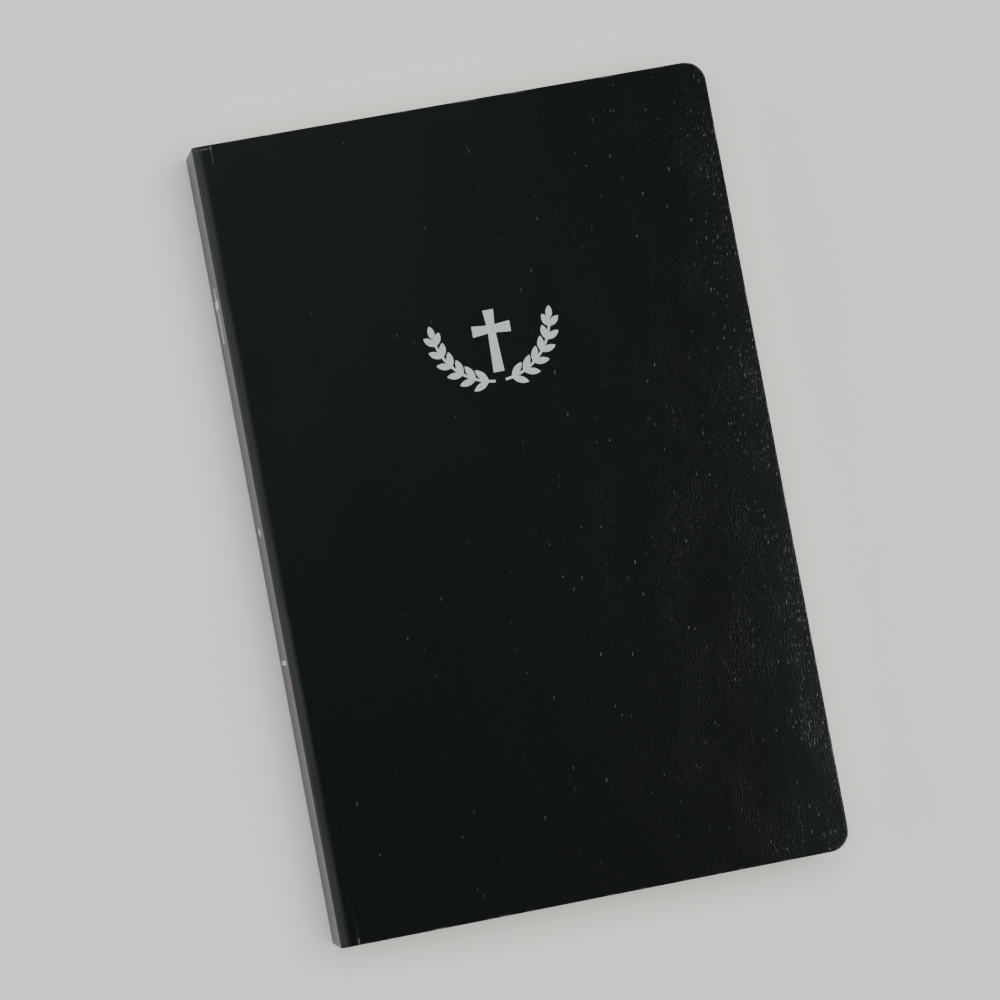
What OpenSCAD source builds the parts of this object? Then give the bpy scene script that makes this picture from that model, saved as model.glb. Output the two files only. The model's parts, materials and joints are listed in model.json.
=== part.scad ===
// A closed, flexible-cover Bible that lies on its back cover.
// +X runs from the spine to the fore edge, +Y to the head and +Z up to the front cover.
// The origin is the centre of the footprint, on the surface that the book lies on.
// The front half is modelled once, and the back half is its mirror image.

/* [Book] */
// Width, from the spine to the fore edge
book_w = 140; // [100:1:180]
// Height, from the tail to the head
book_h = 216; // [150:1:260]
// Thickness, with both covers
book_t = 26; // [20:0.5:40]
// Radius of the two corners at the fore edge
corner_r = 5.5; // [2:0.5:12]

/* [Cover] */
// Thickness of the imitation leather
skin_t = 0.5; // [0.4:0.05:0.7]
// Thickness of the card inside each cover
board_t = 0.6; // [0.4:0.05:0.9]
// Radius where the cover turns from the spine on to the front
spine_edge_r = 1.4; // [0.5:0.1:1.5]
// Width of the strip beside the spine that is glued down
strip_w = 3.4; // [3.4:0.1:4.5]
// Width of the crease between that strip and the cover panel
crease_w = 2.2; // [2:0.1:3]
// Radius of the pressed groove in the crease
groove_r = 0.3; // [0.1:0.05:0.35]

/* [Spine lining] */
// Thickness of the spine liner card
liner_t = 0.4; // [0.2:0.05:0.5]
// Thickness of the open-weave cloth glued over the sections
mull_t = 0.25; // [0.15:0.05:0.3]
// Thickness of the glue, and of the endpaper strip that continues it
glue_t = 0.35; // [0.25:0.05:0.4]

/* [Pages] */
// Number of sewn sections, an even number
section_count = 24; // [16:2:30]
// Thickness of an endpaper leaf
endpaper_t = 0.15; // [0.1:0.01:0.2]
// Number of sewing stations along the spine
station_count = 6; // [4:1:10]
// Width of a sewing thread
thread_w = 0.25; // [0.15:0.05:0.4]

/* [Foil] */
// Width of the foil ornament on the front
ornament_w = 37; // [25:1:60]
// Height of the foil ornament
ornament_h = 21; // [15:1:30]
// Distance from the head to the ornament's centre
ornament_drop = 66.8; // [30:0.2:100]
// Distance from the head to the centre of the cross on the spine
spine_cross_drop = 44.5; // [20:0.5:70]
// Distance from the head to the lozenge on the spine
spine_lozenge_drop = 103.5; // [80:0.5:120]
// Distance from the head to the line on the spine
spine_line_drop = 139; // [125:0.5:190]

/* [Hidden] */
$fn = 64;
eps = 1;                        // how far a cutter runs past what it cuts
leaf_gap = 0.05;                // air between leaves that turn on their own
split_gap = 0.04;               // air between the two halves of the text block
fold_share = 0.42;              // radius of a section's fold, as a share of its thickness
thread_t = 0.2;                 // thickness of a thread, sunk in the glue
thread_pair = 1.2;              // distance between the two threads of a station
station_margin = 18;            // distance from the head or tail to the end stations
foil_sink = 0.02;               // the foil lies this far below the leather's face
foil_t = 0.06;                  // thickness of the foil
cross_arm_w = 2;                // width of the cross's arms where they meet
cross_flare = 1.5;              // the arms' ends are wider than their roots by this factor
cross_share = 0.62;             // width of the cross, as a share of its height
stem_w = 0.7;                   // width of a sprig's stem
sprig_start = -85;              // the stem's two ends, as angles about its centre
sprig_end = -8;
leaf_pairs = 6;                 // pairs of leaves on a sprig
leaf_angle = 36;                // angle between a leaf and the stem
leaf_share = 0.36;              // width of a leaf, as a share of its length
spine_cross = [15, 9];          // the spine cross, along the spine and across it
spine_lozenge = [3, 6];         // the spine lozenge
spine_line = [1.2, 12];         // the spine line

half_count = section_count / 2;
cross_h = 0.8 * ornament_h;     // height of the cross on the front
sprig_r = 0.433 * ornament_w;    // radius of a sprig's stem, and how far up its centre is
sprig_rise = 0.35 * ornament_h;
leaf_len = 0.135 * ornament_w;
outer_x = -book_w / 2;          // the spine's outer face
split_z = book_t / 2 + split_gap / 2;
panel_x = strip_w + crease_w;   // where the cover panel starts, from the spine's outer face
hinge_x = panel_x - 0.6;        // the line that a cover and a flyleaf turn about
liner_d = skin_t;               // depths below the outer face, layer by layer
mull_d = liner_d + liner_t;
glue_d = mull_d + mull_t;
block_d = glue_d + glue_t;
pastedown_d = skin_t + board_t;
flyleaf_d = pastedown_d + endpaper_t + leaf_gap;
cover_end_d = flyleaf_d + endpaper_t + leaf_gap;
page_d = max(block_d, cover_end_d);     // where the first section starts
section_t = (book_t - page_d - split_z) / half_count;

leather = [0.085, 0.102, 0.102];
card = [0.55, 0.52, 0.47];
paper = [0.93, 0.90, 0.82];
cloth = [0.82, 0.80, 0.74];
glue = [0.86, 0.80, 0.62];
silver = [0.75, 0.78, 0.78];

function section_name(i) = str("section_", i < 10 ? "0" : "", i);

SIDE_PIECES = ["spine_cover", "spine_liner", "spine_mull", "spine_glue", "sewing_thread",
    "spine_foil", "endpaper_tip", "cover_crease", "flyleaf", "pastedown", "cover_board",
    "cover_leather"];

// ---- placing ----

// Moves the children from the spine's outer face at x = 0 into the part's frame.
module at_spine() translate([outer_x, 0, 0]) children();

// Places the children on the front half, or mirrored on the back half.
module on_side(side) {
    at_spine()
        if (side == "front") children();
        else translate([0, 0, book_t]) mirror([0, 0, 1]) children();
}

// Puts a leaf's outline at a depth below the front face.
module sheet(depth, thickness) {
    translate([0, 0, book_t - depth - thickness]) linear_extrude(thickness) children();
}

// Runs a section drawn in X and Z along the whole height of the book, and past it by over.
module along_spine(over = 0) {
    rotate([90, 0, 0]) linear_extrude(book_h + 2 * over, center = true) children();
}

// Lays a shape drawn along the spine and across it on to the spine's outer face.
module on_spine_face(depth, thickness) {
    translate([depth, 0, 0]) rotate([90, 0, 90]) linear_extrude(thickness) children();
}

// ---- outlines ----

// What a round corner takes away from a square one, with its centre at the origin.
module corner_waste(r) {
    difference() {
        square(r + eps);
        circle(r);
    }
}

// A leaf that starts at x_start, with both corners at the fore edge rounded.
module leaf_outline(x_start) {
    difference() {
        translate([x_start, -book_h / 2]) square([book_w - x_start, book_h]);
        for (end = [0, 1])
            mirror([0, end]) translate([book_w - corner_r, book_h / 2 - corner_r])
                corner_waste(corner_r);
    }
}

// What the round edge between the spine and the front takes away from a layer at a depth.
module edge_waste(depth) {
    r = max(spine_edge_r - depth, 0);
    if (r > 0)
        translate([depth + r, book_t - depth - r]) mirror([1, 0]) corner_waste(r);
}

// The spine and the glued strip, seen from the tail, inset by a depth from both outer faces.
module spine_inset(depth, over = 0) {
    difference() {
        translate([depth, split_z - over])
            square([strip_w - depth + over, book_t - depth - split_z + over]);
        edge_waste(depth);
    }
}

// One layer that covers the spine and turns in under the glued strip.
module wrapped_layer(depth, thickness) {
    along_spine() difference() {
        spine_inset(depth);
        spine_inset(depth + thickness, eps);
    }
}

// ---- foil shapes ----

// One arm of a cross, from the origin along +Y.
module cross_arm(reach, width) {
    polygon([[-width / 2, 0], [width / 2, 0], [width * cross_flare / 2, reach],
        [-width * cross_flare / 2, reach]]);
}

// A Latin cross with flared arms, centred on its own height.
module latin_cross(height, width, arm_w) {
    side = width / 2;
    translate([0, height / 2 - side]) {
        translate([-arm_w / 2, -arm_w / 2]) square(arm_w);
        for (turn = [0, 90, 270]) rotate(turn) cross_arm(side, arm_w);
        rotate(180) cross_arm(height - side, arm_w);
    }
}

module lozenge(size) {
    polygon([[size.x / 2, 0], [0, size.y / 2], [-size.x / 2, 0], [0, -size.y / 2]]);
}

// A pointed leaf from the origin along +X, bounded by two arcs.
module foil_leaf(length, width) {
    r = (length * length / 4 + width * width / 4) / width;
    intersection_for (side = [-1, 1])
        translate([length / 2, side * (r - width / 2)]) circle(r);
}

// One sprig: a curved stem that rises on the right, with leaves in pairs and one at its tip.
module sprig() {
    intersection() {
        difference() {
            circle(sprig_r + stem_w / 2);
            circle(sprig_r - stem_w / 2);
        }
        polygon([[0, 0], for (a = [sprig_start, (sprig_start + sprig_end) / 2, sprig_end])
            2 * sprig_r * [cos(a), sin(a)]]);
    }
    step = (sprig_end - sprig_start) / leaf_pairs;
    for (i = [1 : leaf_pairs], side = [-1, 0, 1])
        if (side != 0 || i == leaf_pairs)
            rotate(sprig_start + (i - 0.5 + (side == 0 ? 0.5 : 0)) * step) translate([sprig_r, 0])
                rotate(90 + side * leaf_angle)
                    foil_leaf(leaf_len * (1 - 0.04 * i), leaf_len * leaf_share);
}

// A cross that stands between two sprigs.
module ornament_shape() {
    translate([0, (ornament_h - cross_h) / 2])
        latin_cross(cross_h, cross_h * cross_share, cross_arm_w);
    for (side = [0, 1]) mirror([side, 0]) translate([0, sprig_rise]) sprig();
}

// The marks on the spine, with the whole height of the spine across them.
module spine_marks() {
    middle = book_t / 2;
    translate([book_h / 2 - spine_cross_drop, middle])
        rotate(-90) latin_cross(spine_cross.x, spine_cross.y, 1.6);
    translate([book_h / 2 - spine_lozenge_drop, middle]) lozenge(spine_lozenge);
    translate([book_h / 2 - spine_line_drop, middle]) square(spine_line, center = true);
}

// The half of the marks above the split.
module half_spine_marks() {
    intersection() {
        spine_marks();
        translate([-book_h / 2, split_z]) square([book_h, book_t]);
    }
}

module at_ornament() {
    translate([book_w / 2, book_h / 2 - ornament_drop]) children();
}

// ---- spine ----

module spine_cover() {
    color(leather) difference() {
        wrapped_layer(0, skin_t);
        on_spine_face(-eps, eps + foil_sink + foil_t) half_spine_marks();
    }
}

module spine_foil() color(silver) on_spine_face(foil_sink, foil_t) half_spine_marks();

module spine_liner() color(card) wrapped_layer(liner_d, liner_t);

module spine_mull() color(cloth) wrapped_layer(mull_d, mull_t);

// The threads that pass from section to section at each sewing station.
module thread_bars() {
    spacing = (book_h - 2 * station_margin) / (station_count - 1);
    for (i = [0 : station_count - 1], side = [-1, 1])
        translate([block_d - thread_t,
            -book_h / 2 + station_margin + i * spacing + side * thread_pair / 2 - thread_w / 2,
            split_z])
            cube([thread_t, thread_w, book_t - page_d - split_z]);
}

module sewing_thread() color(cloth) thread_bars();

module spine_glue() {
    color(glue) difference() {
        along_spine() translate([glue_d, split_z])
            square([glue_t, book_t - page_d - split_z]);
        thread_bars();
    }
}

// ---- covers and endpapers ----

// The cover's hinge: a strip with a groove pressed along the line that it turns about.
module cover_crease() {
    color(leather) along_spine() difference() {
        translate([strip_w, book_t - skin_t]) square([crease_w - leaf_gap, skin_t]);
        translate([hinge_x, book_t]) circle(groove_r);
    }
}

module cover_board() color(card) sheet(skin_t, board_t) leaf_outline(panel_x);

module pastedown() color(paper) sheet(pastedown_d, endpaper_t) leaf_outline(panel_x);

module flyleaf() {
    color(paper) sheet(flyleaf_d, endpaper_t) leaf_outline(hinge_x + 2 * leaf_gap);
}

// The glued edge of the folded endpaper, on the first section.
module endpaper_tip() {
    color(paper) along_spine() difference() {
        translate([glue_d, book_t - page_d])
            square([hinge_x - 8 * leaf_gap - glue_d, page_d - glue_d]);
        edge_waste(glue_d);
    }
}

module cover_leather(side) {
    color(leather) difference() {
        sheet(0, skin_t) leaf_outline(panel_x);
        if (side == "front")
            sheet(-eps, eps + foil_sink + foil_t) at_ornament() ornament_shape();
    }
}

module front_ornament() {
    color(silver) on_side("front") sheet(foil_sink, foil_t) at_ornament() ornament_shape();
}

// ---- text block ----

// A section's leaves seen from the tail, from the round fold to past the fore edge.
module fold_profile() {
    fold_r = fold_share * section_t;
    difference() {
        translate([block_d, 0]) square([book_w, section_t]);
        for (face = [0, 1])
            translate([block_d + fold_r, face ? section_t - fold_r : fold_r])
                rotate(face ? 90 : 180) corner_waste(fold_r);
    }
}

// One folded section, counted from the cover inwards, with its round fold at the spine.
module folded_section(i) {
    color(paper) translate([0, 0, book_t - page_d - i * section_t]) intersection() {
        translate([0, 0, -eps]) linear_extrude(section_t + 2 * eps) leaf_outline(0);
        along_spine(eps) fold_profile();
    }
}

// ---- assembly ----

module side_piece(side, piece) {
    on_side(side) {
        if (piece == "spine_cover") spine_cover();
        if (piece == "spine_liner") spine_liner();
        if (piece == "spine_mull") spine_mull();
        if (piece == "spine_glue") spine_glue();
        if (piece == "sewing_thread") sewing_thread();
        if (piece == "spine_foil") spine_foil();
        if (piece == "endpaper_tip") endpaper_tip();
        if (piece == "cover_crease") cover_crease();
        if (piece == "flyleaf") flyleaf();
        if (piece == "pastedown") pastedown();
        if (piece == "cover_board") cover_board();
        if (piece == "cover_leather") cover_leather(side);
    }
}

// Sections are numbered from the front of the book to the back.
module section(i) {
    if (i <= half_count) on_side("front") folded_section(i);
    else on_side("back") folded_section(section_count + 1 - i);
}

for (side = ["front", "back"], piece = SIDE_PIECES)
    side_piece(side, piece);
front_ornament();
for (i = [1 : section_count])
    section(i);
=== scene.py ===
"""A closed, flexible-cover Bible: its leather, paper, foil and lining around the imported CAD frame."""
import json
import math

import bmesh
import bpy
import numpy as np
from mathutils import Matrix, Vector


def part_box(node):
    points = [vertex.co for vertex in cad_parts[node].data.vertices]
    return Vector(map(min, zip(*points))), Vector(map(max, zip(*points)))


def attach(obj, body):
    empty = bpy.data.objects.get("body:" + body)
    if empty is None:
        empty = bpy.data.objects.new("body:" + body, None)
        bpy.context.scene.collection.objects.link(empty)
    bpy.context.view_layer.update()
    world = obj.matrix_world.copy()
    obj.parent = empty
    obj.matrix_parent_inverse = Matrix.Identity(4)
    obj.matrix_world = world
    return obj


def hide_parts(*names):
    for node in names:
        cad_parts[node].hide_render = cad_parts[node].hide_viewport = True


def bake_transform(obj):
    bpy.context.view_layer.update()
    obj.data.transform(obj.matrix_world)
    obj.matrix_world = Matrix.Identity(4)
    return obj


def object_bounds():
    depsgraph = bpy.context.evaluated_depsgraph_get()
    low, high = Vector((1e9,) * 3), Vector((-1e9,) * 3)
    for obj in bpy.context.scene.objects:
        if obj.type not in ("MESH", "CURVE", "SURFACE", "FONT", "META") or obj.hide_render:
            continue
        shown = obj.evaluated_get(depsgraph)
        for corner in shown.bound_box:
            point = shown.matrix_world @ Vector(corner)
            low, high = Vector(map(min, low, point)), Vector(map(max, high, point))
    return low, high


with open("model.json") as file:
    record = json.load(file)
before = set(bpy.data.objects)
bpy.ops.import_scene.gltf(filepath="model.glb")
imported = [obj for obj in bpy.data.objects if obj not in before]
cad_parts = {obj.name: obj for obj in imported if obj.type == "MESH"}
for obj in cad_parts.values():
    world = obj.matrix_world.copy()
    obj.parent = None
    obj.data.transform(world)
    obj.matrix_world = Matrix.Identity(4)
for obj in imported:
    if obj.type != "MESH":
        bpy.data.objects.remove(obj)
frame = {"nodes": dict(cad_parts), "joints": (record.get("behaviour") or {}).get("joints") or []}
cad_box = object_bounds()
MM = 0.001

# ---------------------------------------------------------------- sizes, all from the frame

LOW, HIGH = cad_box
SPINE_X = LOW[0]
FORE_X = HIGH[0]
HALF_H = HIGH[1]
TOP_Z = HIGH[2]
MID_Z = TOP_Z / 2
PANEL_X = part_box("front_cover_leather")[0][0]
STRIP_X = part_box("front_spine_cover")[1][0]
SKIN_T = TOP_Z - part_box("front_cover_leather")[0][2]
BOARD_LOW, BOARD_HIGH = (corner[2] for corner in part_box("front_cover_board"))
PASTE_LOW, PASTE_HIGH = (corner[2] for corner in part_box("front_pastedown"))
FLY_LOW, FLY_HIGH = (corner[2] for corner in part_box("front_flyleaf"))
BLOCK_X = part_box("section_01")[0][0]
GLUED_EDGE = 1.8 * MM
FLY_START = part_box("front_endpaper_tip")[0][0] + GLUED_EDGE
HINGE_X = next(j["pos_m"][0] for j in frame["joints"] if j["name"] == "front_cover_hinge")
SECTIONS = sorted(name for name in frame["nodes"] if name.startswith("section_"))
SIDES = ("front", "back")


def radius_between(node, flat_axis, flat_at, other_axis, other_end):
    """Radius of a round corner: how far a node's flat face ends before its box does."""
    points = (v.co for v in frame["nodes"][node].data.vertices)
    return other_end - max(p[other_axis] for p in points if abs(p[flat_axis] - flat_at) < 0.01 * MM)


CORNER_R = radius_between("section_01", 0, FORE_X, 1, HALF_H)
EDGE_R = radius_between("front_spine_cover", 0, SPINE_X, 2, TOP_Z)


def unevenness(x, y, seed, size, octaves=3):
    """Smooth, repeatable height from -1 to 1, with its broadest features about size metres across."""
    draw = np.random.default_rng(seed)
    total, weight = np.zeros(np.broadcast(x, y).shape), 0.0
    for octave in range(octaves):
        for _ in range(4):
            angle, phase = draw.uniform(0, 2 * math.pi, 2)
            pitch = 2 * math.pi / size * 2 ** octave * draw.uniform(0.7, 1.3)
            total += 0.5 ** octave * np.sin(pitch * (x * math.cos(angle) + y * math.sin(angle)) + phase)
            weight += 0.5 ** octave
    return np.clip(total / weight * 1.6, -1, 1)


def fore_x_at(y):
    """X of the fore edge at height y, with the two round corners."""
    over = np.clip(np.abs(y) - (HALF_H - CORNER_R), 0, CORNER_R)
    return FORE_X - CORNER_R + np.sqrt(CORNER_R ** 2 - over ** 2)


def edge_distance(x, y):
    """Distance in from the head, the tail or the fore edge, and no more than the corner's radius."""
    past_x = np.maximum(x - (FORE_X - CORNER_R), 0)
    past_y = np.maximum(np.abs(y) - (HALF_H - CORNER_R), 0)
    return CORNER_R - np.hypot(past_x, past_y)


# ---------------------------------------------------------------- the cover's outer face

GROOVE_DEPTH = 0.07 * MM
GROOVE_WIDTH = 0.5 * MM
GROOVE_END = 7 * MM
WAVE = 0.07 * MM
EDGE_LIFT = 0.20 * MM


def groove(x, y):
    """Depth of the crease beside the spine, which is deeper at its ends."""
    end = np.exp(-((HALF_H - np.abs(y)) / GROOVE_END) ** 2)
    return GROOVE_DEPTH * (1 + 1.2 * end) * np.exp(-((x - HINGE_X) / GROOVE_WIDTH) ** 2)


def front_face(x, y):
    """The front cover is softly uneven, and lifts a little towards the fore edge."""
    away = np.clip((x - PANEL_X) / (FORE_X - PANEL_X), 0, 1)
    wave = WAVE * unevenness(x, y, 3, 90 * MM) * np.clip((x - STRIP_X) / (20 * MM), 0, 1)
    lift = EDGE_LIFT * away ** 3 * (0.6 + 0.4 * np.sin(y / HALF_H * 1.3 + 3))
    return TOP_Z + wave + lift - groove(x, y)


def back_face(x, y):
    """The back cover lies flat on the table, so it only sinks in at the crease."""
    return LOW[2] + groove(x, y)


# ---------------------------------------------------------------- mesh building


def steps(low, high, pitch, insets=()):
    """Values from low to high at about the given pitch, with extra ones close to both ends."""
    count = max(int(round((high - low) / pitch)), 2)
    values = list(np.linspace(low, high, count + 1))
    for inset in insets:
        values += [low + inset, high - inset]
    return np.unique(np.round(values, 8))


def rows_up(pitch, insets=()):
    """Y values from the tail to the head, with extra ones round the fore edge's corners."""
    arc = np.linspace(0, math.pi / 2, 13)[1:-1]
    corner_y = HALF_H - CORNER_R + CORNER_R * np.sin(arc)
    ys = np.concatenate([steps(-HALF_H, HALF_H, pitch, insets), corner_y, -corner_y])
    return np.unique(np.round(ys, 8))


def new_object(name, vertices, faces, uv, sharp=40):
    """A mesh object, with its flat pattern in metres as its UV map."""
    mesh = bpy.data.meshes.new(name)
    mesh.from_pydata([tuple(v) for v in vertices], [], faces)
    mesh.validate()
    layer = mesh.uv_layers.new(name="flat")
    index = np.empty(len(mesh.loops), int)
    mesh.loops.foreach_get("vertex_index", index)
    layer.data.foreach_set("uv", np.asarray(uv, float)[index].ravel())
    mesh.polygons.foreach_set("use_smooth", [True] * len(mesh.polygons))
    mesh.set_sharp_from_angle(angle=math.radians(sharp))
    obj = bpy.data.objects.new(name, mesh)
    bpy.context.scene.collection.objects.link(obj)
    return obj


def grid_faces(rows, columns, start=0, flip=False):
    """Four-sided faces between the points of a grid that is stored row by row."""
    faces = []
    for row in range(rows - 1):
        for column in range(columns - 1):
            a = start + row * columns + column
            face = (a, a + 1, a + columns + 1, a + columns)
            faces.append(face[::-1] if flip else face)
    return faces


def closed_sheet(name, upper, lower, flat):
    """A closed sheet between two grids of points, each an array of rows, columns and x, y, z."""
    rows, columns = upper.shape[:2]
    under = rows * columns
    faces = grid_faces(rows, columns) + grid_faces(rows, columns, under, True)
    rim = list(range(columns))
    rim += [row * columns + columns - 1 for row in range(1, rows)]
    rim += [(rows - 1) * columns + i for i in range(columns - 2, -1, -1)]
    rim += [row * columns for row in range(rows - 2, 0, -1)]
    for here, there in zip(rim, rim[1:] + rim[:1]):
        faces.append((here + under, there + under, there, here))
    uv = flat.reshape(-1, 2)
    vertices = np.concatenate([upper.reshape(-1, 3), lower.reshape(-1, 3)])
    return new_object(name, vertices, faces, np.concatenate([uv, uv]))


def rounding(inside, radius):
    """How far a cut edge's round falls away, at a distance in from the edge."""
    part = np.clip(inside / radius, 0, 1)
    return radius * (1 - np.sqrt(1 - (1 - part) ** 2))


def leaf(name, start_x, low, high, pitch, radius=0.0, end_x=None, row_pitch=None, turn=()):
    """A closed sheet whose two faces are the functions low and high of x and y.

    It runs from start_x to the fore edge, or to end_x, with its cut edges rounded by radius, and has more
    columns at the turn's x values."""
    insets = (radius * 0.12, radius * 0.4, radius) if radius else ()
    ys = rows_up(row_pitch or pitch, insets)
    width = (end_x or FORE_X) - start_x
    shares = steps(0, 1, pitch / width, [i / width for i in insets if end_x is None])
    shares = np.unique(np.round(np.concatenate([shares, (np.array(turn) - start_x) / width]), 8))
    ends = fore_x_at(ys) if end_x is None else np.full(len(ys), end_x)
    x = start_x + shares[None, :] * (ends[:, None] - start_x)
    y = np.repeat(ys[:, None], len(shares), 1)
    drop = rounding(edge_distance(x, y), radius) if radius else np.zeros(x.shape)
    top, bottom = high(x, y), low(x, y)
    upper = np.stack([x, y, top - drop], -1)
    lower = np.stack([x, y, bottom + np.minimum(drop, 0.3 * (top - bottom))], -1)
    return closed_sheet(name, upper, lower, np.stack([x, y], -1))


def finish(obj, material, nodes):
    obj.data.materials.append(material)
    if nodes:
        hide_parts(*nodes)
    return obj


def place(obj, body, slot, material, *nodes):
    """Finishes a piece that rides on one body, and stands for the named CAD nodes."""
    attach(obj, body)
    return finish(obj, material, nodes)


def bend(obj, body_a, body_b, start, end, slot, material, *nodes):
    """Finishes a piece that is meant to bend between two bodies: bakes its transform, gives it its material and
    hides the named CAD nodes, but ties it to neither body and does not make it bend.
    """
    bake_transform(obj)
    return finish(obj, material, nodes)


# ---------------------------------------------------------------- materials


class Shader:
    """A short way to build a node material round one Principled shader."""

    def __init__(self, name, **values):
        self.material = bpy.data.materials.new(name)
        self.material.use_nodes = True
        self.tree = self.material.node_tree
        self.principled = self.tree.nodes["Principled BSDF"]
        for socket, value in values.items():
            self.principled.inputs[socket.replace("_", " ")].default_value = value

    def node(self, kind, inputs=None, **settings):
        made = self.tree.nodes.new(kind)
        for key, value in settings.items():
            setattr(made, key, value)
        for key, value in (inputs or {}).items():
            if isinstance(value, bpy.types.NodeSocket):
                self.tree.links.new(value, made.inputs[key])
            else:
                made.inputs[key].default_value = value
        return made

    def flat(self, scale=(1, 1, 1), turn=0.0):
        """The piece's flat pattern in metres, which follows it through every bend. What is drawn on it is
        longer the smaller the scale is, and then turned."""
        uv = self.node("ShaderNodeUVMap", uv_map="flat").outputs[0]
        inputs = {"Vector": uv, "Scale": tuple(1 / size for size in scale), "Rotation": (0, 0, turn)}
        return self.node("ShaderNodeMapping", inputs, vector_type="TEXTURE").outputs[0]

    def solid(self, scale=(1, 1, 1)):
        """The place in the piece, in metres."""
        place_in = self.node("ShaderNodeTexCoord").outputs["Object"]
        return self.node("ShaderNodeMapping", {"Vector": place_in, "Scale": scale}).outputs[0]

    def split(self, vector):
        return self.node("ShaderNodeSeparateXYZ", {0: vector}).outputs

    def noise(self, vector, scale, detail=3.0, rough=0.55, output="Fac"):
        inputs = {"Vector": vector, "Scale": scale, "Detail": detail, "Roughness": rough}
        return self.node("ShaderNodeTexNoise", inputs).outputs[output]

    def warped(self, vector, scale, amount):
        """A vector that noise pushes about, so that what is drawn on it is less regular."""
        push = self.noise(vector, scale, 2.0, 0.5, "Color")
        push = self.node("ShaderNodeVectorMath", {0: push, 1: (0.5,) * 3}, operation="SUBTRACT").outputs[0]
        push = self.node("ShaderNodeVectorMath", {0: push, "Scale": amount}, operation="SCALE").outputs[0]
        return self.node("ShaderNodeVectorMath", {0: vector, 1: push}, operation="ADD").outputs[0]

    def cells(self, vector, scale, feature="F1"):
        """Flat Voronoi cells: how far a point is from its cell's centre or edge, in cells."""
        return self.node("ShaderNodeTexVoronoi", {"Vector": vector, "Scale": scale},
                         feature=feature, voronoi_dimensions="2D").outputs

    def ramp(self, value, *stops):
        """Maps a value through (position, colour or number) stops."""
        made = self.node("ShaderNodeValToRGB", {"Fac": value})
        while len(made.color_ramp.elements) < len(stops):
            made.color_ramp.elements.new(0.5)
        for element, (position, colour) in zip(made.color_ramp.elements, stops):
            element.position = position
            element.color = (*colour, 1) if isinstance(colour, tuple) else (colour,) * 3 + (1,)
        return made.outputs["Color"]

    def math(self, operation, a, b=0.0, clamp=False):
        return self.node("ShaderNodeMath", {0: a, 1: b}, operation=operation, use_clamp=clamp).outputs[0]

    def sum(self, *terms):
        """Adds up (value, weight) pairs."""
        total = None
        for value, weight in terms:
            term = self.math("MULTIPLY", value, weight)
            total = term if total is None else self.math("ADD", total, term)
        return total

    def near(self, value, centre, reach):
        """1 where value is at centre, falling to 0 at reach to either side."""
        off = self.math("ABSOLUTE", self.math("SUBTRACT", value, centre))
        return self.math("SUBTRACT", 1.0, self.math("DIVIDE", off, reach), clamp=True)

    def mix(self, factor, a, b):
        made = self.node("ShaderNodeMix", data_type="RGBA")
        for index, value in ((0, factor), (6, a), (7, b)):
            if isinstance(value, bpy.types.NodeSocket):
                self.tree.links.new(value, made.inputs[index])
            elif index:
                made.inputs[index].default_value = (*value, 1)
            else:
                made.inputs[index].default_value = value
        return made.outputs[2]

    def bump(self, height, distance, strength=1.0):
        inputs = {"Height": height, "Distance": distance, "Strength": strength}
        return self.node("ShaderNodeBump", inputs).outputs[0]

    def set(self, socket, value):
        self.tree.links.new(value, self.principled.inputs[socket])


EDGE_WEAR = 0.5 * MM
CRACK_WIDTH = 0.22 * MM
HEAD_CRACK_DROP = 1.0 * MM
HEAD_CRACK_WIDTH = 0.3 * MM
HEAD_CRACK_SPARE = 0.4 * MM


def leather_wear(s, flat):
    """Where the leather is worn pale or cracked: its cut edges, its corners, and the crease's ends."""
    x, y = s.split(flat)[0], s.split(flat)[1]
    past_x = s.math("MAXIMUM", s.math("SUBTRACT", x, FORE_X - CORNER_R), 0.0)
    past_y = s.math("MAXIMUM", s.math("SUBTRACT", s.math("ABSOLUTE", y), HALF_H - CORNER_R), 0.0)
    squares = s.sum((s.math("POWER", past_x, 2.0), 1.0), (s.math("POWER", past_y, 2.0), 1.0))
    edge = s.near(s.math("SQRT", squares), CORNER_R, EDGE_WEAR)
    patch = s.ramp(s.noise(flat, 130, 3, 0.7), (0.52, 0.0), (0.66, 1.0))
    corner = s.math("GREATER_THAN", s.math("MULTIPLY", past_x, past_y), EDGE_WEAR ** 2)
    corner_patch = s.ramp(s.noise(flat, 420, 2, 0.6), (0.44, 0.0), (0.54, 1.0))
    rubbed_edge = s.math("MULTIPLY", edge, s.math("MAXIMUM", patch, s.math("MULTIPLY", corner, corner_patch)))
    from_end = s.math("SUBTRACT", HALF_H, s.math("ABSOLUTE", y))
    hinge = s.math("MULTIPLY", s.near(x, HINGE_X, CRACK_WIDTH), s.near(from_end, 0.0, GROOVE_END))
    across = s.math("MULTIPLY", s.near(y, HALF_H - HEAD_CRACK_DROP, HEAD_CRACK_WIDTH),
                    s.near(x, (SPINE_X + HINGE_X) / 2, (HINGE_X - SPINE_X) / 2 + HEAD_CRACK_SPARE))
    crack = s.math("MULTIPLY", s.math("MAXIMUM", hinge, across),
                   s.ramp(s.noise(flat, 900, 2, 0.6), (0.42, 0.0), (0.60, 1.0)))
    return s.math("MAXIMUM", rubbed_edge, crack)
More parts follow.
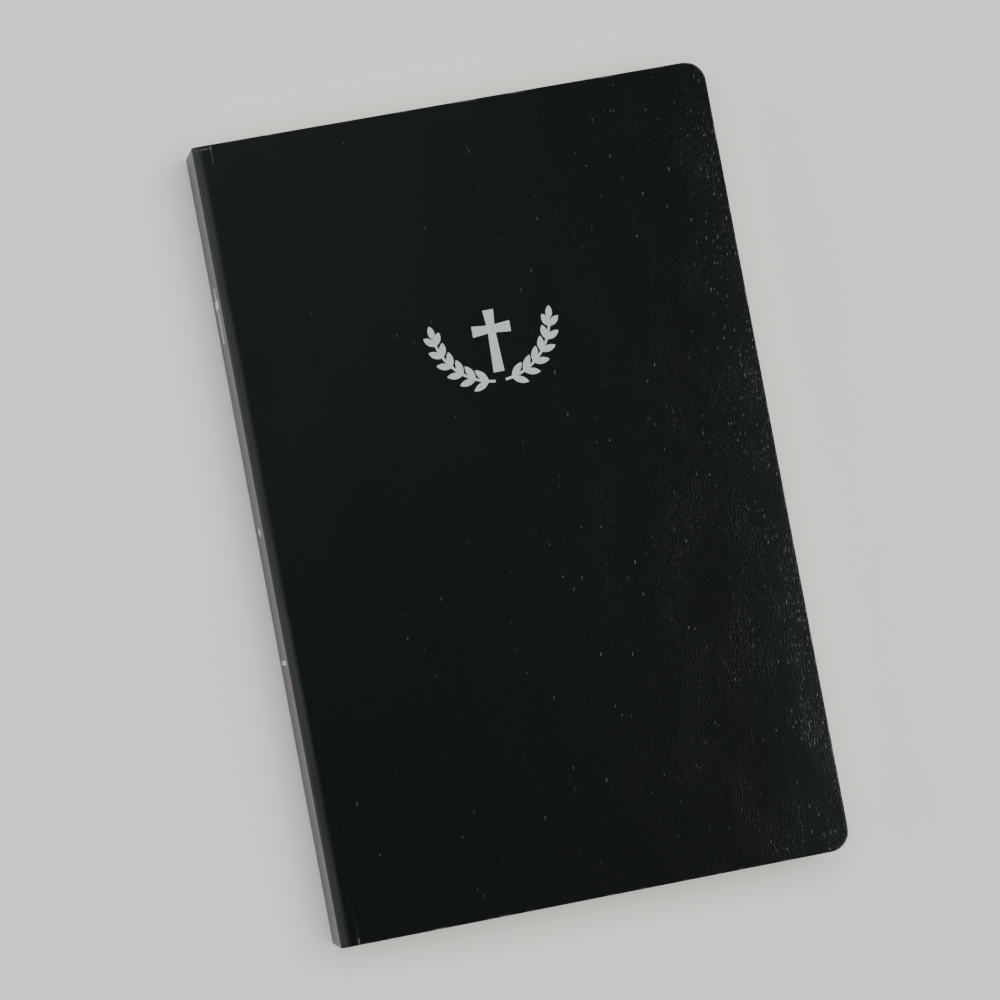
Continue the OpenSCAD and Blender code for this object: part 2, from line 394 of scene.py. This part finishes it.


# There is one mark at most in each cell. The first three rows are painted glints along the fore edge, the
# others specks and hairlines anywhere. A row says: cells per metre, a cell's width over its length, its turn in
# radians, the mark's radius in cells, the share of cells with a mark, how rare bright ones are, and whether
# only the band of painted glints along the fore edge has them.
GLINTS_AND_SPECKS = (
    (1150, 0.38, -0.18, 0.200, 1.50, 3.5, True),  # painted glints: fine dashes
    (700, 0.30, -0.10, 0.130, 1.30, 3.5, True),  # painted glints: longer dashes
    (170, 0.14, -0.15, 0.026, 1.20, 3.5, True),  # painted glints: long thin streaks
    (140, 0.70, 0.30, 0.026, 0.15, 6.0, False),  # specks
    (60, 0.09, 0.35, 0.011, 0.14, 5.0, False),  # hairlines
    (45, 0.07, -0.50, 0.008, 0.14, 5.0, False),
)


def leather_glints_and_specks(s, glint_band):
    """Painted glints: short dashes and long thin streaks in the band along the fore edge, and a few specks and
    hairlines anywhere.
    """
    marks = None
    for scale, stretch, turn, size, share, rarity, only_glint_band in GLINTS_AND_SPECKS:
        cell = s.cells(s.flat((1.0, stretch, 1.0), turn), scale)
        random = s.split(cell["Color"])
        chosen = s.math("LESS_THAN", random[0], s.math("MULTIPLY", glint_band if only_glint_band else 1.0, share))
        bright = s.sum((s.math("POWER", random[1], rarity), 0.88), (1.0, 0.12))
        dot = s.math("SQRT", s.near(cell["Distance"], 0.0, size))
        mark = s.math("MULTIPLY", s.math("MULTIPLY", chosen, bright), dot)
        marks = mark if marks is None else s.math("MAXIMUM", marks, mark)
    return marks


FORE_BAND = 20 * MM
FOLD_HIGHLIGHT_BAND = 1.35 * MM


def leather_painted_sheen(s, x, y):
    """Painted sheen: how much greyer the leather is drawn, most at the head beside the spine, and in a band
    along the fore edge.
    """
    toward_head = s.math("POWER", s.near(y, HALF_H, 2 * HALF_H), 1.6)
    toward_spine = s.near(x, SPINE_X, FORE_X - SPINE_X)
    fore_band = s.math("MULTIPLY", s.near(x, FORE_X, FORE_BAND), s.sum((toward_head, -0.5), (1.0, 0.8)))
    cloud = s.ramp(s.noise(s.flat((1.0, 0.3, 1.0)), 42, 2, 0.5), (0.36, 0.72), (0.64, 1.0))
    corner = s.math("MULTIPLY", toward_head, toward_spine)
    return s.math("MULTIPLY", cloud, s.math("MAXIMUM", corner, fore_band))


def leather_material():
    """Black imitation leather: a fine, low grain, worn pale and cracked at its edges and the crease's ends,
    with a painted sheen towards the head and fore edge, painted glints along the fore edge and a painted
    highlight along the fold.
    """
    s = Shader("leather", Specular_IOR_Level=0.32)
    flat = s.flat()
    x, y = s.split(flat)[0], s.split(flat)[1]
    base = s.ramp(s.noise(flat, 900, 2), (0.35, (0.0022, 0.0032, 0.0036)), (0.65, (0.0030, 0.0042, 0.0046)))
    # painted sheen: the leather's colour drawn greyer towards the head by the spine and in a band along the
    # fore edge
    base = s.mix(s.math("MULTIPLY", leather_painted_sheen(s, x, y), 0.5), base, (0.0090, 0.0141, 0.0140))
    # painted highlight: a paler, streaky band drawn along the fold just past the spine's round
    fold = s.near(x, SPINE_X + EDGE_R + 0.05 * MM, FOLD_HIGHLIGHT_BAND)
    streaks = s.ramp(s.noise(s.flat((1.0, 0.12, 1.0)), 160, 3), (0.30, 0.40), (0.65, 1.0))
    base = s.mix(s.math("MULTIPLY", s.math("MULTIPLY", fold, streaks), 0.9), base, (0.029, 0.034, 0.036))
    across = s.near(x, FORE_X, FORE_X - SPINE_X)
    toward_fore = s.math("POWER", across, 1.6)
    # painted glints: pale dashes and streaks drawn in clusters along the fore edge, where light would catch the
    # grain; the same pattern also raises the bump
    clusters = s.ramp(s.noise(s.flat((1.0, 0.45, 1.0)), 140, 3, 0.6), (0.42, 0.08), (0.56, 1.0))
    glint_band = s.sum((s.math("POWER", across, 26.0), 0.95), (toward_fore, 0.05))
    marks = leather_glints_and_specks(s, s.math("MULTIPLY", clusters, glint_band))
    base = s.mix(marks, base, (0.085, 0.098, 0.100))
    wear = leather_wear(s, flat)
    s.set("Base Color", s.mix(s.math("MULTIPLY", wear, 0.7), base, (0.20, 0.22, 0.22)))
    patch = s.ramp(s.noise(s.flat((1.0, 0.45, 1.0)), 75, 3, 0.6), (0.40, 0.15), (0.62, 1.0))
    handled = s.math("MULTIPLY", toward_fore, patch)
    grain = s.warped(s.flat((1.0, 0.7, 1.0)), 700, 0.6 * MM)
    crack = s.cells(grain, 1250, "DISTANCE_TO_EDGE")["Distance"]
    dome = s.ramp(crack, (0.0, 0.0), (0.12, 0.75), (0.4, 1.0))
    fine = s.noise(flat, 4000, 2)
    lively = s.sum((handled, 0.7), (1.0, 0.3))
    height = s.sum((s.math("MULTIPLY", dome, lively), 0.60), (fine, 0.12), (marks, 0.35), (wear, -0.3))
    s.set("Normal", s.bump(height, 0.09 * MM))
    s.set("Roughness", s.sum((crack, -0.08), (wear, 0.25), (s.noise(flat, 500, 2), 0.08), (1.0, 0.37)))
    return s.material


def foil_material():
    """Stamped silver foil: satin, and a little worn where the grain shows through."""
    s = Shader("foil", Metallic=0.45)
    place_in = s.solid()
    wear = s.noise(place_in, 1500, 4, 0.7)
    s.set("Base Color", s.ramp(wear, (0.28, (0.26, 0.30, 0.31)), (0.42, (0.54, 0.61, 0.62)),
                               (0.75, (0.70, 0.77, 0.78))))
    s.set("Roughness", s.ramp(wear, (0.2, 0.58), (0.7, 0.34)))
    s.set("Normal", s.bump(s.noise(place_in, 1100, 3), 0.06 * MM, 0.8))
    return s.material


def paper_material(name, light, dark):
    """Uncoated paper: a faint cloudy formation and fine fibres."""
    s = Shader(name, Specular_IOR_Level=0.25, Roughness=0.85)
    flat = s.flat()
    s.set("Base Color", s.ramp(s.noise(flat, 90, 6, 0.7), (0.3, dark), (0.7, light)))
    s.set("Normal", s.bump(s.noise(flat, 700, 5, 0.7), 0.03 * MM, 0.35))
    return s.material


def page_edge_material():
    """The cut edges of hundreds of leaves: thin streaks of light and shade along the edge."""
    s = Shader("page_edge", Roughness=0.8, Specular_IOR_Level=0.25)
    fine = s.noise(s.solid((14, 14, 9000)), 1, 3, 0.7)
    wide = s.noise(s.solid((6, 6, 1400)), 1, 2, 0.6)
    streak = s.sum((fine, 0.6), (wide, 0.4))
    s.set("Base Color", s.ramp(streak, (0.34, (0.56, 0.52, 0.43)), (0.5, (0.74, 0.70, 0.61)),
                               (0.68, (0.84, 0.81, 0.73))))
    s.set("Normal", s.bump(streak, 0.08 * MM, 0.6))
    return s.material


ROW_PITCH = 3.1 * MM
COLUMN_CENTRES = (0.31, 0.72)
COLUMN_SHARE = 0.37
END_MARGIN = 13 * MM
GUTTER_SHADE = 9 * MM
GUTTER_SHADE_LINE = 0.6 * MM


def printed_page_material():
    """Thin paper with two columns of small grey dashes in rows, which stand for print and spell nothing, and
    painted shade that darkens it towards the gutter.
    """
    s = Shader("printed_page", Roughness=0.82, Specular_IOR_Level=0.25)
    flat = s.flat()
    x, y = s.split(flat)[0], s.split(flat)[1]
    row = s.math("DIVIDE", y, ROW_PITCH)
    in_row = s.math("LESS_THAN", s.math("FRACT", row), 0.5)
    along = s.math("MULTIPLY", x, 420)
    seed = s.math("MULTIPLY", s.math("FLOOR", row), 7.31)
    words = s.noise(s.node("ShaderNodeCombineXYZ", {0: along, 1: seed}).outputs[0], 1.0, 2, 0.6)
    page = FORE_X - BLOCK_X
    columns = None
    for centre in COLUMN_CENTRES:
        off = s.math("ABSOLUTE", s.math("SUBTRACT", x, BLOCK_X + page * centre))
        inside = s.math("LESS_THAN", off, page * COLUMN_SHARE / 2)
        columns = inside if columns is None else s.math("ADD", columns, inside)
    tall = s.math("LESS_THAN", s.math("ABSOLUTE", y), HALF_H - END_MARGIN)
    ink = s.math("MULTIPLY", s.math("MULTIPLY", in_row, s.math("GREATER_THAN", words, 0.42)),
                 s.math("MULTIPLY", columns, tall))
    paper = s.ramp(s.noise(flat, 90, 5, 0.7), (0.3, (0.74, 0.70, 0.60)), (0.7, (0.79, 0.75, 0.65)))
    # painted shade: the paper drawn darker towards the gutter, darkest in a thin line at the fold
    shade, line = s.near(x, BLOCK_X, GUTTER_SHADE), s.near(x, BLOCK_X, GUTTER_SHADE_LINE)
    gutter = s.sum((s.math("POWER", shade, 2.0), 0.35), (line, 0.45))
    paper = s.mix(gutter, paper, (0.36, 0.33, 0.28))
    s.set("Base Color", s.mix(s.math("MULTIPLY", ink, 0.72), paper, (0.16, 0.15, 0.14)))
    s.set("Normal", s.bump(s.noise(flat, 500, 4, 0.7), 0.03 * MM, 0.3))
    return s.material


def board_material():
    """Dyed card core that shows along the cut edges of a cover."""
    s = Shader("board_core", Roughness=0.9, Specular_IOR_Level=0.2)
    where = s.solid((300, 300, 2500))
    s.set("Base Color", s.ramp(s.noise(where, 1, 5, 0.7), (0.3, (0.014, 0.015, 0.015)),
                               (0.75, (0.045, 0.044, 0.042))))
    s.set("Normal", s.bump(s.noise(where, 3, 4), 0.06 * MM, 0.6))
    return s.material


def lining_material(name, light, dark, scale, rough=0.9):
    """Card, glue, thread or endpaper inside the spine."""
    s = Shader(name, Roughness=rough, Specular_IOR_Level=0.25)
    where = s.solid()
    s.set("Base Color", s.ramp(s.noise(where, scale, 4, 0.6), (0.3, dark), (0.7, light)))
    s.set("Normal", s.bump(s.noise(where, scale * 2, 4, 0.6), 0.05 * MM, 0.5))
    return s.material


def mull_material():
    """Open-weave cotton, stiff with glue."""
    s = Shader("mull", Roughness=0.95, Specular_IOR_Level=0.2)
    where = s.split(s.solid())
    along, across = (s.math("SINE", s.math("MULTIPLY", where[axis], 5200)) for axis in (1, 2))
    weave = s.math("MAXIMUM", along, across)
    s.set("Base Color", s.ramp(weave, (0.0, (0.45, 0.42, 0.34)), (0.8, (0.78, 0.75, 0.67))))
    s.set("Normal", s.bump(weave, 0.1 * MM, 0.6))
    return s.material


LEATHER = leather_material()
FOIL = foil_material()
ENDPAPER = paper_material("endpaper", (0.66, 0.59, 0.47), (0.58, 0.51, 0.39))
PAPER = paper_material("bible_paper", (0.79, 0.75, 0.65), (0.74, 0.70, 0.60))
PAGE_EDGE = page_edge_material()
PRINTED = printed_page_material()
BOARD = board_material()
LINING = {
    "spine_liner": lining_material("card", (0.50, 0.47, 0.42), (0.36, 0.33, 0.29), 900),
    "spine_mull": mull_material(),
    "spine_glue": lining_material("glue", (0.80, 0.75, 0.60), (0.62, 0.56, 0.40), 400, 0.45),
    "sewing_thread": lining_material("thread", (0.86, 0.84, 0.78), (0.70, 0.67, 0.60), 3000),
    "endpaper_tip": lining_material("endpaper_tip", (0.66, 0.59, 0.47), (0.58, 0.51, 0.39), 700),
}

# ---------------------------------------------------------------- covers

SKIN_ROUND = 0.22 * MM
SKIN_PITCH = 0.9 * MM
CARD_PITCH = 2.5 * MM
CREASE_TURN = 1.0 * MM
CREASE_PITCH = 0.1 * MM


def make_cover(side):
    """The panel of one cover: leather, card and pastedown, one above the other."""

    def layer(name, high_z, low_z, slot, material, node, pitch=CARD_PITCH, radius=0.0):
        """A layer between two levels of the front cover, or of the back cover turned over."""
        def shape(z):
            if side == "front":
                return lambda x, y: front_face(x, y) - TOP_Z + z
            return lambda x, y: back_face(x, y) + TOP_Z - z

        levels = (low_z, high_z) if side == "front" else (high_z, low_z)
        sheet = leaf(side + name, PANEL_X, shape(levels[0]), shape(levels[1]), pitch, radius)
        place(sheet, side + "_cover", slot, material, side + node)

    layer("_leather_panel", TOP_Z, TOP_Z - SKIN_T, "leather", LEATHER, "_cover_leather", SKIN_PITCH, SKIN_ROUND)
    layer("_card_core", BOARD_HIGH, BOARD_LOW, "card", BOARD, "_cover_board")
    layer("_pasted_endpaper", PASTE_HIGH, PASTE_LOW, "endpaper", ENDPAPER, "_pastedown")


def make_crease(side):
    """The crease in two strips, which meet on the hinge line: one from the half to the flyleaf,
    and one from the flyleaf to the cover; nothing here turns them."""
    thickness = SKIN_T * 0.9
    level = TOP_Z if side == "front" else LOW[2]
    for part, start, end, bodies in (("_crease_inner", STRIP_X, HINGE_X, ("_half", "_flyleaf")),
                                     ("_crease_outer", HINGE_X, PANEL_X, ("_flyleaf", "_cover"))):
        if side == "front":
            faces = (lambda x, y: front_face(x, y) - thickness, front_face)
        else:
            faces = (back_face, lambda x, y: back_face(x, y) + thickness)
        strip = leaf(side + part, start, *faces, CREASE_PITCH, SKIN_ROUND, end, SKIN_PITCH)
        bend(strip, side + bodies[0], side + bodies[1], (max(start, HINGE_X - CREASE_TURN), 0, level),
             (end, 0, level), "leather", LEATHER, side + "_cover_crease")


SPINE_DENT = 0.12 * MM
FOLD_REACH = 1.2 * MM
STRIP_STEPS = 27


def spine_dent(y, z):
    """How far the spine's face sinks in: soft dents, and a slight hollow along its middle."""
    hollow = np.sin(np.clip((z - LOW[2]) / (TOP_Z - LOW[2]), 0, 1) * math.pi)
    return SPINE_DENT * hollow * (0.55 + 0.45 * unevenness(y, z, 21, 60 * MM))


def spine_path(inset):
    """The wrap from the back strip, up the spine and on to the front strip, as x and z values."""
    radius = EDGE_R - inset
    centre_x = SPINE_X + EDGE_R
    strip = np.linspace(STRIP_X, centre_x, STRIP_STEPS)
    arc = np.linspace(0, math.pi / 2, 13)[1:-1]
    points = [(x, LOW[2] + inset) for x in strip]
    points += [(centre_x - radius * math.sin(a), LOW[2] + EDGE_R - radius * math.cos(a)) for a in arc]
    points += [(SPINE_X + inset, z) for z in np.linspace(LOW[2] + EDGE_R, TOP_Z - EDGE_R, 41)]
    points += [(centre_x - radius * math.cos(a), TOP_Z - EDGE_R + radius * math.sin(a)) for a in arc]
    points += [(x, TOP_Z - inset) for x in strip[::-1]]
    return np.array(points)


def make_spine_cover():
    """One sheet of leather round the spine, from strip to strip; nothing here makes it fold when the book
    opens.
    """
    outer, inner = spine_path(0), spine_path(SKIN_T * 0.9)
    ys = steps(-HALF_H, HALF_H, 1.5 * MM, (0.03 * MM, 0.09 * MM, SKIN_ROUND))
    y = np.repeat(ys[:, None], len(outer), 1)
    toward = (inner - outer) / np.linalg.norm(inner - outer, axis=1)[:, None]
    drop = rounding(HALF_H - np.abs(y), SKIN_ROUND)
    dent = spine_dent(y, outer[None, :, 1]) * (outer[None, :, 0] < SPINE_X + 0.01 * MM)
    sunk = drop + groove(outer[:, 0], y) * (outer[:, 0] > SPINE_X + EDGE_R - 0.01 * MM)
    upper = np.stack([outer[:, 0] + dent + sunk * toward[:, 0], y, outer[:, 1] + sunk * toward[:, 1]], -1)
    lower = np.stack([inner[:, 0] + 0 * y, y, inner[:, 1] + 0 * y], -1)
    # the flat pattern joins on to the front cover's, which is laid out by x
    length = np.concatenate([[0], np.cumsum(np.hypot(*np.diff(outer, axis=0).T))])
    flat = np.stack([STRIP_X - length[-1] + length + 0 * y, y], -1)
    wrap = closed_sheet("spine_leather", upper, lower, flat)
    bend(wrap, "back_half", "front_half", (SPINE_X, 0, MID_Z - FOLD_REACH), (SPINE_X, 0, MID_Z + FOLD_REACH),
         "leather", LEATHER, "front_spine_cover", "back_spine_cover")


for book_side in SIDES:
    make_cover(book_side)
    make_crease(book_side)
make_spine_cover()

# ---------------------------------------------------------------- foil

FOIL_PITCH = 1 * MM
FOIL_T = 0.08 * MM
FOIL_SUNK = 0.75


def conformed_foil(node, across, lay, body):
    """A copy of a foil node's outline, cut finely along the two axes across it and laid on the leather."""
    source = frame["nodes"][node]
    made = bmesh.new()
    made.from_mesh(source.data)
    bmesh.ops.remove_doubles(made, verts=made.verts, dist=1e-7)
    low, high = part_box(node)
    for axis in across:
        for cut in np.arange(low[axis] + FOIL_PITCH, high[axis], FOIL_PITCH):
            place_at, normal = Vector((0, 0, 0)), Vector((0, 0, 0))
            place_at[axis], normal[axis] = cut, 1
            bmesh.ops.bisect_plane(made, geom=made.verts[:] + made.edges[:] + made.faces[:],
                                   plane_co=place_at, plane_no=normal, dist=1e-7)
    for vertex in made.verts:
        lay(vertex.co, low, high)
    mesh = bpy.data.meshes.new(node + "_stamped")
    made.to_mesh(mesh)
    made.free()
    obj = bpy.data.objects.new(node + "_stamped", mesh)
    bpy.context.scene.collection.objects.link(obj)
    return place(obj, body, "foil", FOIL, node)


def on_front(point, low, high):
    """Moves a foil point from the flat front on to the uneven one."""
    rise = (point.z - low[2]) / (high[2] - low[2]) - FOIL_SUNK
    point.z = float(front_face(np.array(point.x), np.array(point.y))) + rise * FOIL_T


def on_spine(point, low, high):
    """Moves a foil point from the flat spine on to the dented one."""
    rise = (high[0] - point.x) / (high[0] - low[0]) - FOIL_SUNK
    point.x = SPINE_X + float(spine_dent(np.array(point.y), np.array(point.z))) - rise * FOIL_T


conformed_foil("front_ornament", (0, 1), on_front, "front_cover")
for book_side in SIDES:
    conformed_foil(book_side + "_spine_foil", (1, 2), on_spine, book_side + "_half")

# ---------------------------------------------------------------- endpapers


FLY_TURN = 5 * MM


def make_flyleaf(side):
    """The endpaper's free leaf with its glued edge, with extra columns where it would rise in a soft curve as
    it turns; nothing here turns it.
    """

    def wavy(level):
        return lambda x, y: level + 0.012 * MM * unevenness(x, y, 31, 50 * MM)

    low, high = (FLY_LOW, FLY_HIGH) if side == "front" else (TOP_Z - FLY_HIGH, TOP_Z - FLY_LOW)
    start, end = HINGE_X - 0.5 * MM, HINGE_X + FLY_TURN
    columns = np.linspace(start, end, 23)
    sheet = leaf(side + "_flyleaf_sheet", FLY_START, wavy(low), wavy(high), 2.5 * MM, turn=columns)
    level = (low + high) / 2
    bend(sheet, side + "_half", side + "_flyleaf", (start, 0, level), (end, 0, level),
         "endpaper", ENDPAPER, side + "_flyleaf")


for book_side in SIDES:
    make_flyleaf(book_side)

# ---------------------------------------------------------------- text block

LEAVES_SHOWN = 8
CUT_ROUGHNESS = 0.06 * MM


def block_outline(pitch=4 * MM):
    """Points round a section and the way out from it at each, from the spine's head corner, clockwise."""
    arc = np.linspace(0, math.pi / 2, 10)
    out = np.stack([np.sin(arc), np.cos(arc)], -1)
    corner = out * CORNER_R + [FORE_X - CORNER_R, HALF_H - CORNER_R]
    head_x = np.arange(BLOCK_X, FORE_X - CORNER_R, pitch)
    fore_y = np.arange(HALF_H - CORNER_R, -HALF_H + CORNER_R, -pitch)[1:]
    spine_y = np.arange(-HALF_H, HALF_H, pitch * 2)[1:]

    def line(x, y, normal):
        x, y = np.broadcast_arrays(x, y)
        return np.stack([x, y], -1), np.tile(np.array(normal, float), (len(x), 1))

    tail_turn = np.array([1, -1])
    stretches = [line(head_x, HALF_H, (0, 1)), (corner, out), line(FORE_X, fore_y, (1, 0)),
                 (corner[::-1] * tail_turn, out[::-1] * tail_turn), line(head_x[::-1], -HALF_H, (0, -1)),
                 line(BLOCK_X, spine_y, (0, 0))]
    return (np.concatenate(part) for part in zip(*stretches))


def make_section(name, number):
    """One sewn section, as a pile of thin leaves whose cut edges stand out by different amounts."""
    low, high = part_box(name)
    draw = np.random.default_rng(100 + number)
    outline, outward = block_outline()
    leaf_t = (high[2] - low[2]) / LEAVES_SHOWN
    rings, levels = [], []
    for i in range(LEAVES_SHOWN):
        inset = draw.uniform(0.02 * MM, CUT_ROUGHNESS)
        if i in (0, LEAVES_SHOWN - 1):
            inset += 0.05 * MM
        skew = 0.02 * MM * (1 + unevenness(outline[:, 0], outline[:, 1], 1000 * number + i, 80 * MM, 2))
        rings += [outline - outward * (inset + skew)[:, None]] * 2
        levels += [low[2] + (i + 0.14) * leaf_t, low[2] + (i + 0.86) * leaf_t]
    levels[0], levels[-1] = low[2], high[2]
    count = len(outline)
    vertices = [(x, y, z) for ring, z in zip(rings, levels) for x, y in ring]
    faces = []
    for ring in range(len(rings) - 1):
        a, b = ring * count, (ring + 1) * count
        for i in range(count):
            j = (i + 1) % count
            faces.append((a + i, b + i, b + j, a + j))
    faces.append(tuple(range(count)))
    faces.append(tuple(range((len(rings) - 1) * count, len(rings) * count))[::-1])
    uv = [(x, y) for ring in rings for x, y in ring]
    section = new_object(name + "_leaves", vertices, faces, uv, 25)
    body = "front_half" if number <= len(SECTIONS) // 2 else "back_half"
    place(section, body, "bible_paper", PAGE_EDGE, name)
    section.data.materials.append(PAPER)
    for face in section.data.polygons[-2:]:
        face.material_index = 1


for index, section_name in enumerate(SECTIONS, 1):
    make_section(section_name, index)

SPREAD_GAP = 0.003 * MM
SPREAD_T = 0.012 * MM
SPREAD_INSET = 0.12 * MM


def make_spread():
    """The sheet at the middle of the book: two printed pages that meet in the gutter."""
    shares = np.concatenate([[0, 0.004], np.linspace(0.02, 1, 40)])
    across = np.concatenate([shares[::-1], shares])
    half = np.repeat([-1, 1], len(shares))
    ys = rows_up(3 * MM) * (HALF_H - 0.05 * MM) / HALF_H
    start = BLOCK_X + 0.1 * MM
    reach = fore_x_at(ys) - SPREAD_INSET - start
    x = start + reach[:, None] * across[None, :]
    y = np.repeat(ys[:, None], len(across), 1)
    page = np.stack([x, y, MID_Z + half * SPREAD_GAP + 0 * x], -1)
    back = np.stack([x, y, MID_Z + half * (SPREAD_GAP + SPREAD_T) + 0 * x], -1)
    sheet = closed_sheet("middle_spread", back, page, np.stack([x, y], -1))
    bend(sheet, "back_half", "front_half", (BLOCK_X, 0, MID_Z - SPREAD_GAP), (BLOCK_X, 0, MID_Z + SPREAD_GAP),
         "bible_paper", PRINTED)


make_spread()

# ---------------------------------------------------------------- lining that stays as it is

for book_side in SIDES:
    for part, lining in LINING.items():
        mesh = frame["nodes"][book_side + "_" + part].data
        mesh.materials.clear()
        mesh.materials.append(lining)

# ---------------------------------------------------------------- camera, floor and light

VIEW_WIDTH = 266.55 * MM
DISTANCE = 1.18
TILT = math.radians(7.4)
AZIMUTH = math.radians(189.0)
ROLL = math.radians(10.75)
LOOK_AT = Vector((-15.8 * MM, -0.5 * MM, TOP_Z))
SHIFT = (0.034, 0.01245)
SENSOR = 36.0


def make_camera():
    """Looks down at the front cover, from a little towards the spine, with the book turned in view."""
    toward = Vector((math.sin(TILT) * math.cos(AZIMUTH), math.sin(TILT) * math.sin(AZIMUTH), math.cos(TILT)))
    right = Vector((math.sin(ROLL), math.cos(ROLL), 0)).cross(toward).normalized()
    data = bpy.data.cameras.new("camera")
    data.sensor_width = SENSOR
    data.lens = SENSOR * DISTANCE / VIEW_WIDTH
    data.shift_x, data.shift_y = SHIFT
    data.clip_end = 20
    camera = bpy.data.objects.new("camera", data)
    bpy.context.scene.collection.objects.link(camera)
    axes = Matrix((right, toward.cross(right), toward)).transposed().to_4x4()
    camera.matrix_world = Matrix.Translation(LOOK_AT + toward * DISTANCE) @ axes
    bpy.context.scene.camera = camera


def make_floor(reach=3.0):
    s = Shader("floor", Roughness=0.7, Specular_IOR_Level=0.2)
    mottle = s.noise(s.solid(), 4, 3)
    s.set("Base Color", s.ramp(mottle, (0.3, (0.78, 0.765, 0.735)), (0.7, (0.81, 0.795, 0.765))))
    mesh = bpy.data.meshes.new("floor")
    corners = [(-reach, -reach, 0), (reach, -reach, 0), (reach, reach, 0), (-reach, reach, 0)]
    mesh.from_pydata(corners, [], [(0, 1, 2, 3)])
    mesh.materials.append(s.material)
    floor = bpy.data.objects.new("floor", mesh)
    floor.location.z = LOW[2] - 0.02 * MM
    bpy.context.scene.collection.objects.link(floor)


def area_light(name, azimuth, elevation, distance, size, energy, colour=(1, 1, 1)):
    """A square soft light at a direction round the book, aimed at it."""
    data = bpy.data.lights.new(name, "AREA")
    data.shape = "SQUARE"
    data.size, data.energy, data.color = size, energy, colour
    light = bpy.data.objects.new(name, data)
    bpy.context.scene.collection.objects.link(light)
    a, e = math.radians(azimuth), math.radians(elevation)
    direction = Vector((math.cos(e) * math.cos(a), math.cos(e) * math.sin(a), math.sin(e)))
    light.location = direction * distance
    light.rotation_euler = direction.to_track_quat("Z", "Y").to_euler()
    return light


def make_world():
    """A dome that is bright near the horizon and dim overhead, as in a room with windows all round."""
    world = bpy.data.worlds.new("studio")
    world.use_nodes = True
    tree = world.node_tree
    place_in = tree.nodes.new("ShaderNodeTexCoord")
    split = tree.nodes.new("ShaderNodeSeparateXYZ")
    ramp = tree.nodes.new("ShaderNodeValToRGB")
    ramp.color_ramp.elements[0].color = (0.78, 0.80, 0.84, 1)
    ramp.color_ramp.elements[1].position = 0.9
    ramp.color_ramp.elements[1].color = (0.05, 0.05, 0.05, 1)
    tree.links.new(place_in.outputs["Generated"], split.inputs[0])
    tree.links.new(split.outputs[2], ramp.inputs[0])
    tree.links.new(ramp.outputs[0], tree.nodes["Background"].inputs[0])
    bpy.context.scene.world = world


make_camera()
make_floor()
key = area_light("key", 60, 86, 1.4, 1.1, 25, (1.0, 0.98, 0.95))
key.visible_glossy = False
rim = area_light("rim", -12, 24, 0.42, 0.12, 1.0)
rim.visible_diffuse = False
rim.visible_camera = False
area_light("fill", 170, 30, 1.6, 1.2, 7, (0.95, 0.98, 1.0))
make_world()
